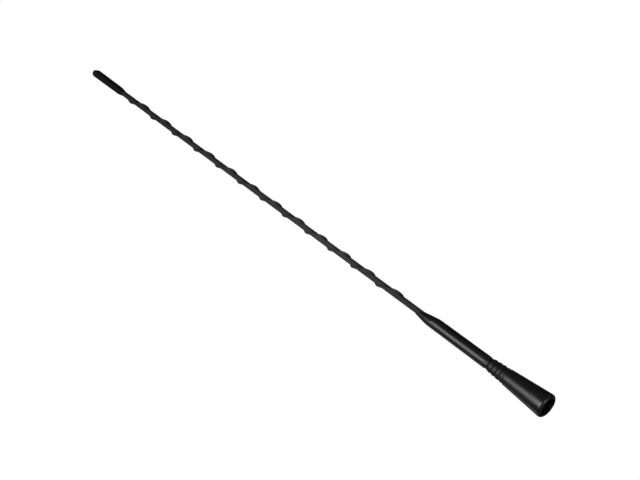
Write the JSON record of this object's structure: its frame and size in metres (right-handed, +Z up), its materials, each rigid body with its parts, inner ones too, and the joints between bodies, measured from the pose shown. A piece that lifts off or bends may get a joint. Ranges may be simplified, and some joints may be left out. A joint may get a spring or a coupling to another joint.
{
  "type": "car mast aerial",
  "caption": "Screw-on whip aerial for a vehicle roof: tapered springy rod with a helically wound wire under a black jacket, tip cap, grip and flared hollow foot.",
  "frame": {"origin": "centre of the foot's mouth, in the plane of its rim", "axes": "+Z up the mast towards its tip, -Y towards the side that the picture shows, +X towards the side on which the neck starts lower"},
  "size_m": [0.0164, 0.0164, 0.406],
  "materials": {
    "moulded_plastic": "satin moulded black, slightly soft",
    "brass": "turned, bare",
    "steel": "zinc plated thread",
    "fibreglass": "drawn glass fibre in resin",
    "copper": "bare drawn copper wire",
    "jacket": "shrunk sleeve, matt",
    "cap_plastic": "moulded black, matt"
  },
  "bodies": {
    "root": {"base_moulding": "moulded_plastic", "ferrule": "brass", "stud": "steel", "core_rod": "fibreglass", "winding": "copper", "jacket": "jacket", "tip_cap": "cap_plastic"}
  },
  "joints": []
}
